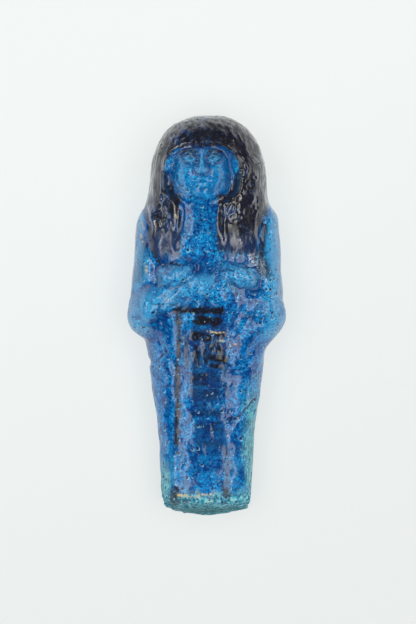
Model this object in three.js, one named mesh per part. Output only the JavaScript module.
import * as THREE from 'three';
import { LoftGeometry } from 'three/addons/geometries/LoftGeometry.js';
import { mergeVertices } from 'three/addons/utils/BufferGeometryUtils.js';

// A funerary figurine of blue glazed faience, pressed in a one-sided mould, lying on its flattened back.
// Millimetres. +Z is up and is the way the figure faces, +Y runs from the sole to the crown, and x is
// zero on the midline, with the figure's left arm on the +X side.

// Driving dimensions
const figureLength = 105; // sole to crown
const elbowSpan = 40; // outside to outside of the bent arms
const shoulderSpan = 36.6; // outside to outside at the shoulders
const trunkWidth = 34.4; // the wrapped body between the arms
const kneeWidth = 27.6; // the wrapped legs
const soleWidth = 22.4;
const wigWidth = 30.4;
const faceWidth = 14.6; // cheek to cheek, without the ears
const trunkDepth = 20.6; // resting plane to the belly
const soleDepth = 15; // resting plane to the worn ridge over the toes
const wigDepth = 23.4; // resting plane to the front of the wig
const headDepth = 24; // resting plane to the brow
const upperArmWidth = 11;
const upperArmDepth = 17; // resting plane to the front of the arms
const forearmWidth = 10.2; // at the elbow
const fistWidth = 7.8;
const lappetWidth = 8; // each front tail of the wig
const soleSlant = 0.27; // how far the foot end leans back for each millimetre of height
const soleBulge = 1.7; // how far the middle of the foot end stands out past its corners
const carvingDepth = 1.1; // how far the wig's tails stand proud of the chest
const openingDepth = 2.2; // how far the face's opening is sunk into the wig
const headLean = 0.4; // how far the head stands to the figure's left of the legs

// Places along the figure are in hundredths of its length, from the sole to the crown.
const hundredth = figureLength / 100;
const along = {
  toeRidge: 4.4 * hundredth,
  knee: 33 * hundredth,
  elbow: 50.2 * hundredth,
  forearm: 53.6 * hundredth,
  wrist: 59 * hundredth,
  fist: 60.2 * hundredth,
  tailEnd: 64.4 * hundredth,
  chest: 68 * hundredth,
  shoulder: 73 * hundredth,
  chin: 79.3 * hundredth,
  wigSide: 82 * hundredth,
  faceMiddle: 84.6 * hundredth,
};

// The wrapped body: place along it, half width, height of its front and height of its back.
const sunkBack = -1.6; // the back reaches this far under the resting plane, which cuts it flat
const trunkStations = [
  [-2 * hundredth, 0.46 * soleWidth, 0.84 * soleDepth, sunkBack],
  [along.toeRidge, 0.5 * soleWidth, soleDepth, sunkBack],
  [12 * hundredth, 0.515 * soleWidth, 0.97 * soleDepth, sunkBack],
  [22 * hundredth, 0.545 * soleWidth, 1.03 * soleDepth, sunkBack],
  [along.knee, 0.5 * kneeWidth, 0.82 * trunkDepth, sunkBack],
  [42 * hundredth, 0.44 * trunkWidth, 0.92 * trunkDepth, sunkBack],
  [along.elbow, 0.485 * trunkWidth, 0.98 * trunkDepth, sunkBack],
  [60 * hundredth, 0.5 * trunkWidth, trunkDepth, sunkBack],
  [along.chest, 0.5 * trunkWidth, trunkDepth, sunkBack],
  [along.shoulder, 0.48 * trunkWidth, 0.97 * trunkDepth, sunkBack],
  [along.chin, 0.43 * trunkWidth, 0.9 * trunkDepth, sunkBack],
  [90 * hundredth, 0.3 * trunkWidth, 0.7 * trunkDepth, sunkBack],
];
const widestHeight = 0.39 * trunkDepth; // where the sides of the body are widest

const { clamp, lerp, smoothstep } = THREE.MathUtils;

// A smooth curve through a table of stations, with each tangent taken across its neighbours.
function smoothThrough(stations, place) {
  const last = stations.length - 1;
  const passed = stations.filter((station) => station[0] <= place).length - 1;
  const index = clamp(passed, 0, last - 1);
  const neighbours = [index - 1, index, index + 1, index + 2];
  const [before, from, to, after] = neighbours.map((k) => stations[clamp(k, 0, last)]);
  const step = to[0] - from[0];
  const t = clamp((place - from[0]) / step, 0, 1);
  const [t2, t3] = [t * t, t * t * t];
  return from.slice(1).map((value, k) => {
    const column = k + 1;
    const slopeFrom = (to[column] - before[column]) / (to[0] - before[0]);
    const slopeTo = (after[column] - value) / (after[0] - from[0]);
    return (
      (2 * t3 - 3 * t2 + 1) * value +
      (t3 - 2 * t2 + t) * step * slopeFrom +
      (3 * t2 - 2 * t3) * to[column] +
      (t3 - t2) * step * slopeTo
    );
  });
}

// Joins two bodies, cuts one by another, or takes the higher of two reliefs, each with a fillet.
function join(a, b, fillet) {
  const share = Math.max(fillet - Math.abs(a - b), 0) / fillet;
  return Math.min(a, b) - (share * share * fillet) / 4;
}
const cut = (a, b, fillet) => -join(-a, -b, fillet);
const higher = cut;

const power = (base, exponent) => Math.pow(Math.abs(base), exponent);

// The length of several shares taken together: an exponent above 2 makes the form squarer.
function norm(shares, exponent) {
  const sum = shares.reduce((total, share) => total + power(share, exponent), 0);
  return Math.pow(sum, 1 / exponent);
}

// How far a point of the plan is from a bar, as a share of the bar's half width there.
function shareOfBar(x, s, { from, to, halfWidth }) {
  const [dx, ds] = [to[0] - from[0], to[1] - from[1]];
  const t = clamp(((x - from[0]) * dx + (s - from[1]) * ds) / (dx * dx + ds * ds), 0, 1);
  return Math.hypot(x - from[0] - t * dx, s - from[1] - t * ds) / lerp(halfWidth[0], halfWidth[1], t);
}

// Profiles of relief over a share that is 1 at their edge: a soft mound, a rounder limb, and a level
// top with a slope around it.
const mound = (share) => power(Math.max(0, 1 - share * share), 2);
const limb = (share) => power(Math.max(0, 1 - share * share), 1.3);
const plateau = (share, edge) => 1 - smoothstep(share, 1 - edge, 1 + edge);
const oval = (dx, dy, halfX, halfY) => Math.hypot(dx / halfX, dy / halfY);

function trunk(x, s, z) {
  const [halfWidth, front, back] = smoothThrough(trunkStations, s);
  const facing = z > widestHeight;
  const rise = facing ? front - widestHeight : widestHeight - back;
  const intoHead = Math.max(0, s - along.chin) / (0.1 * figureLength);
  const share = norm([x / halfWidth, (z - widestHeight) / rise, intoHead], facing ? 2.3 : 3.8);
  return (share - 1) * Math.min(halfWidth, rise);
}

// The upper arms hang from the shoulders to the bent elbows and give the body its widest outline.
const upperArm = {
  from: [0.5 * (shoulderSpan - upperArmWidth), along.shoulder],
  to: [0.5 * (elbowSpan - upperArmWidth), along.elbow],
  halfWidth: [0.5 * upperArmWidth, 0.5 * upperArmWidth],
};

function upperArms(x, s, z) {
  const rise = z > widestHeight ? upperArmDepth - widestHeight : widestHeight - sunkBack;
  const share = norm([shareOfBar(Math.abs(x), s, upperArm), (z - widestHeight) / rise], 2.4);
  return (share - 1) * 0.5 * upperArmWidth;
}

// Under the left elbow the clay runs more gently into the legs than under the right one.
function armFillet(x, s) {
  const below = 1 - smoothstep(s, along.elbow - 5 * hundredth, along.elbow + hundredth);
  return x > 0 ? 1.4 + 2.6 * below : 1.4;
}

// The forearms cross on the belly, the figure's right over its left, and end in fists on the chest.
const elbowPlace = 0.5 * elbowSpan - 0.45 * upperArmWidth;
const fistPlace = 0.23 * trunkWidth;
const forearmHalves = [0.5 * forearmWidth, 0.42 * forearmWidth];
const leftForearm = {
  from: [elbowPlace, along.forearm - 0.5 * hundredth],
  to: [-0.5 * fistPlace, along.wrist],
  halfWidth: forearmHalves,
};
const rightForearm = {
  from: [-elbowPlace, along.forearm],
  to: [0.6 * fistPlace, along.wrist + 0.6 * hundredth],
  halfWidth: forearmHalves,
};
const leftFist = {
  from: [-fistPlace - 0.23 * fistWidth, along.fist - 0.3 * hundredth],
  to: [-fistPlace + 0.23 * fistWidth, along.fist + 0.3 * hundredth],
  halfWidth: [0.5 * fistWidth, 0.48 * fistWidth],
};
const rightFist = {
  from: [fistPlace - 0.16 * fistWidth, along.fist - 0.1 * hundredth],
  to: [fistPlace + 0.3 * fistWidth, along.fist - 0.6 * hundredth],
  halfWidth: [0.5 * fistWidth, 0.5 * fistWidth],
};

// The wig's two front tails come down over the shoulders and stop square above the fists. The left one
// is the broader and lies nearer the middle.
const rightTail = {
  top: -0.41 * wigWidth,
  foot: -0.36 * wigWidth,
  half: 0.44 * lappetWidth,
  end: along.tailEnd - 0.4 * hundredth,
};
const leftTail = {
  top: 0.33 * wigWidth,
  foot: 0.245 * wigWidth,
  half: 0.57 * lappetWidth,
  end: along.tailEnd + 0.4 * hundredth,
};

function shareOfTail(x, s, tail) {
  const t = Math.max(0, (along.chin - s) / (along.chin - tail.end));
  return Math.pow(power((x - lerp(tail.top, tail.foot, t)) / tail.half, 5) + power(t, 9), 1 / 5);
}

function frontCarving(x, s) {
  const arms = higher(
    1.2 * carvingDepth * limb(shareOfBar(x, s, leftForearm)),
    1.7 * carvingDepth * limb(shareOfBar(x, s, rightForearm)),
    0.7,
  );
  const fists = Math.max(
    2.1 * carvingDepth * limb(shareOfBar(x, s, leftFist)),
    2.3 * carvingDepth * limb(shareOfBar(x, s, rightFist)),
  );
  const nearerTail = Math.min(shareOfTail(x, s, rightTail), shareOfTail(x, s, leftTail));
  return higher(higher(arms, fists, 0.5), carvingDepth * plateau(nearerTail, 0.15), 0.35);
}

// The wig is a dome over the head that stays as wide down to the shoulders, front and back.
const wigMiddle = 0.48 * wigDepth;
const crownRise = figureLength - along.wigSide;
const wigHem = 0.13 * figureLength;
const wigShoulder = along.wigSide - 3 * hundredth;

function wig(x, s, z) {
  const halfWidth = 0.5 * wigWidth;
  const rise = z > wigMiddle ? wigDepth - wigMiddle : wigMiddle - sunkBack;
  const overCrown = (s - along.wigSide) / crownRise;
  const beyond = Math.max(0, overCrown, (wigShoulder - s) / wigHem);
  return (norm([x / halfWidth, beyond, (z - wigMiddle) / rise], 2.4) - 1) * Math.min(halfWidth, rise);
}

// The opening of the wig around the face, and the gap between its tails down the chest. Both lie a
// little to the figure's right of the midline.
const faceShift = -0.11 * faceWidth;
const neckGap = {
  from: [faceShift, along.chin],
  to: [-0.075 * wigWidth, along.tailEnd - 3 * hundredth],
  halfWidth: [0.37 * faceWidth, 0.37 * faceWidth],
};

function opening(x, s) {
  const halfHeight = 0.53 * faceWidth;
  const aroundFace = norm([(x - faceShift) / (0.63 * faceWidth), (s - along.faceMiddle) / halfHeight], 2.5);
  const downChest = (shareOfBar(x, s, neckGap) - 1) * neckGap.halfWidth[0];
  return join((aroundFace - 1) * halfHeight, downChest, 0.14 * faceWidth);
}

// The face is set out by the artist's canon: five eyes wide, with equal thirds from brow to nose and
// from nose to chin. It is symmetric about its own middle.
const eyeWidth = faceWidth / 5;
const third = 0.4 * faceWidth;
const noseBase = along.chin + third;
const browLine = noseBase + third;
const eyeLine = browLine - 0.32 * third;
const mouthLine = noseBase - 0.34 * third;

function eyeRelief(side, s) {
  const fromEye = side - 1.02 * eyeWidth;
  const rise = s - eyeLine - 0.05 * third * (side / eyeWidth - 1);
  const lens = power(fromEye / (0.66 * eyeWidth), 2) + Math.abs(rise) / (0.2 * third);
  const socket = 0.8 * mound(oval(fromEye, s - eyeLine, 1.2 * eyeWidth, 0.42 * third));
  const upperLid = 0.28 * mound((lens - 1.25) / 0.4) * smoothstep(rise, -0.03 * third, 0.06 * third);
  return 0.55 * plateau(lens, 0.55) + 0.2 * mound(lens) + upperLid - socket;
}

function noseRelief(side, s) {
  const t = clamp((browLine - s) / third, 0, 1);
  const halfWidth = (0.34 + 0.26 * t * t) * eyeWidth;
  const fromBrow = 1 - smoothstep(s, browLine - 0.3 * third, browLine + 0.3 * third);
  const toBase = smoothstep(s, noseBase - 0.16 * third, noseBase + 0.16 * third);
  const bridge = (0.75 + 1.1 * t) * mound((0.92 * side) / halfWidth) * toBase * fromBrow;
  const wing = oval(side - 0.36 * eyeWidth, s - noseBase - 0.15 * third, 0.36 * eyeWidth, 0.2 * third);
  return higher(bridge, 0.85 * mound(wing), 0.5);
}

function mouthRelief(side, s) {
  const rise = s - mouthLine - 0.05 * third * power(side / eyeWidth, 2);
  return (
    0.55 * mound(oval(side, rise - 0.13 * third, 0.95 * eyeWidth, 0.19 * third)) +
    0.55 * mound(oval(side, rise + 0.13 * third, 0.78 * eyeWidth, 0.19 * third)) -
    0.22 * mound(oval(side, rise, 0.85 * eyeWidth, 0.06 * third))
  );
}

function browRelief(side, s) {
  const rise = s - browLine - 0.02 * third + 0.1 * third * power(side / eyeWidth - 1.1, 2);
  const innerEnd = smoothstep(side, 0.2 * eyeWidth, 0.7 * eyeWidth);
  const outerEnd = 1 - smoothstep(side, 1.6 * eyeWidth, 2.4 * eyeWidth);
  return 0.32 * mound(rise / (0.15 * third)) * innerEnd * outerEnd;
}

function faceRelief(side, s) {
  const cheek = oval(side - 1.3 * eyeWidth, s - noseBase - 0.15 * third, 1.5 * eyeWidth, third);
  const chin = oval(side, s - along.chin - 0.24 * third, 1.5 * eyeWidth, 0.66 * third);
  const features = [eyeRelief, noseRelief, mouthRelief, browRelief].map((relief) => relief(side, s));
  return 0.5 * mound(cheek) + 0.85 * mound(chin) + features.reduce((sum, relief) => sum + relief);
}

function head(x, s, z) {
  const side = Math.abs(x - faceShift);
  const [halfWidth, halfHeight, middle] = [0.53 * faceWidth, 0.69 * faceWidth, 0.54 * headDepth];
  const halfDepth = headDepth - middle;
  const fromMiddle = s - along.faceMiddle + 0.4 * hundredth;
  const share = norm([side / halfWidth, fromMiddle / halfHeight, (z - middle) / halfDepth], 2.5);
  const facing = smoothstep(z, middle, middle + 0.2 * headDepth);
  return (share - 1) * Math.min(halfWidth, halfDepth) - faceRelief(side, s) * facing;
}

function earRelief(x, s) {
  const fromEar = Math.abs(x - faceShift) - 0.6 * faceWidth;
  const earMiddle = 0.5 * (browLine + noseBase) - 0.05 * third;
  const share = oval(fromEar, s - earMiddle, 0.13 * faceWidth, 0.52 * third);
  return 1.4 * mound(share) - 0.7 * mound(1.9 * share);
}

// The foot end leans back, with its middle bulging out.
const sole = (x, s, z) => soleBulge * power(x / (0.5 * soleWidth), 1.6) + soleSlant * z - s;

function figure(x, s, z) {
  const facing = smoothstep(z, 0.7 * widestHeight, 1.2 * widestHeight);
  const body = join(trunk(x, s, z), upperArms(x, s, z), armFillet(x, s)) - frontCarving(x, s) * facing;
  const sunk = openingDepth * (1 - smoothstep(opening(x, s), -1.4, 1.1));
  const dressed = join(body, wig(x, s, z) + (sunk - earRelief(x, s)) * facing, 1.6);
  return join(dressed, head(x, s, z), 1.8);
}

// The clay was pressed a little out of true: the upper half leans aside by the head's lean.
const lean = (s) => headLean * smoothstep(s, 48 * hundredth, 80 * hundredth);
const leaningFigure = (x, s, z) => figure(x - lean(s), s, z);

const flatBack = (z) => -z;
const whole = (x, s, z) => Math.max(cut(leaningFigure(x, s, z), sole(x, s, z), 0.7), flatBack(z));

// The surface is found along rays that leave a flat line inside the figure: level rings between the
// two ends of the line, and rings that fan out over the crown and over the foot end.
const spineHeight = 0.45 * trunkDepth;
const spineHalfWidth = 0.3 * soleWidth;
const longestRay = Math.max(0.6 * elbowSpan, wigDepth, headDepth, trunkDepth) + 2;
const footEndOfSpine = 7.4 * hundredth;
const crownEndOfSpine = 94 * hundredth;
const radians = THREE.MathUtils.degToRad;

function surfacePoint(start, angle, tilt) {
  const level = Math.cos(radians(tilt));
  const [across, up] = [Math.cos(radians(angle)) * level, Math.sin(radians(angle)) * level];
  const origin = new THREE.Vector3(spineHalfWidth * across, start, spineHeight);
  const direction = new THREE.Vector3(across, Math.sin(radians(tilt)), up);
  const pointAt = (distance) => origin.clone().addScaledVector(direction, distance);
  const inside = (distance) => {
    const { x, y, z } = pointAt(distance);
    return whole(x, y, z) < 0;
  };
  const march = 0.4;
  let near = longestRay;
  while (near > march && !inside(near)) near -= march;
  let far = near + march;
  for (let halving = 0; halving < 12; halving++) {
    const middle = 0.5 * (near + far);
    if (inside(middle)) near = middle;
    else far = middle;
  }
  return pointAt(near);
}

const steps = (from, to, count) => Array.from({ length: count }, (_, i) => lerp(from, to, i / count));

// Columns, in degrees about the spine, crowd over the carved front.
const angles = [
  ...steps(0, 30, 3),
  ...steps(30, 56, 6),
  ...steps(56, 124, 40),
  ...steps(124, 150, 6),
  ...steps(150, 180, 3),
  ...steps(180, 360, 10),
];

// Rows crowd at the hands and the face.
const levelRows = [
  ...steps(footEndOfSpine, 44.5 * hundredth, 7),
  ...steps(44.5 * hundredth, 52 * hundredth, 7),
  ...steps(52 * hundredth, 66 * hundredth, 14),
  ...steps(66 * hundredth, along.chin - 2, 6),
  ...steps(along.chin - 2, crownEndOfSpine, 25),
];

// The tilt at which a column passes over the rim of the sole, where one ring lies all the way round.
function rimTilt(angle) {
  let [low, high] = [2, 80];
  for (let halving = 0; halving < 9; halving++) {
    const middle = 0.5 * (low + high);
    const { x, y, z } = surfacePoint(footEndOfSpine, angle, -middle);
    if (sole(x, y, z) > Math.max(leaningFigure(x, y, z), flatBack(z))) high = middle;
    else low = middle;
  }
  return 0.5 * (low + high);
}

const rimTilts = angles.map(rimTilt);
const towardsRim = [0.5, 0.86, 1];
const overSole = [0.1, 0.4, 0.75, 0.93];
const footTilts = [
  ...towardsRim.map((share) => rimTilts.map((rim) => -rim * share)),
  ...overSole.map((share) => rimTilts.map((rim) => -lerp(rim, 90, share))),
];
const crownTilts = [0, 14, 28, 42, 56, 70, 84];

const ring = (start, tilts) => angles.map((angle, i) => surfacePoint(start, angle, tilts[i])).reverse();
const levelRing = (start, tilt = 0) => ring(start, angles.map(() => tilt));

const rings = [
  ...footTilts.toReversed().map((tilts) => ring(footEndOfSpine, tilts)),
  ...levelRows.map((start) => levelRing(start)),
  ...crownTilts.map((tilt) => levelRing(crownEndOfSpine, tilt)),
];

const skin = new LoftGeometry(rings, { capStart: true, capEnd: true });
const bareSkin = new THREE.BufferGeometry();
bareSkin.setAttribute('position', skin.getAttribute('position'));
bareSkin.setIndex(skin.getIndex());
const closedSkin = mergeVertices(bareSkin, 1e-3);
closedSkin.computeVertexNormals();

const faience = new THREE.MeshStandardMaterial({ color: 0x1a66b0, roughness: 0.18, metalness: 0 });
const ushabti = new THREE.Mesh(closedSkin, faience);
ushabti.name = 'ushabti';
ushabti.position.y = -0.5 * figureLength;

const figurine = new THREE.Group();
figurine.add(ushabti);

export default figurine;
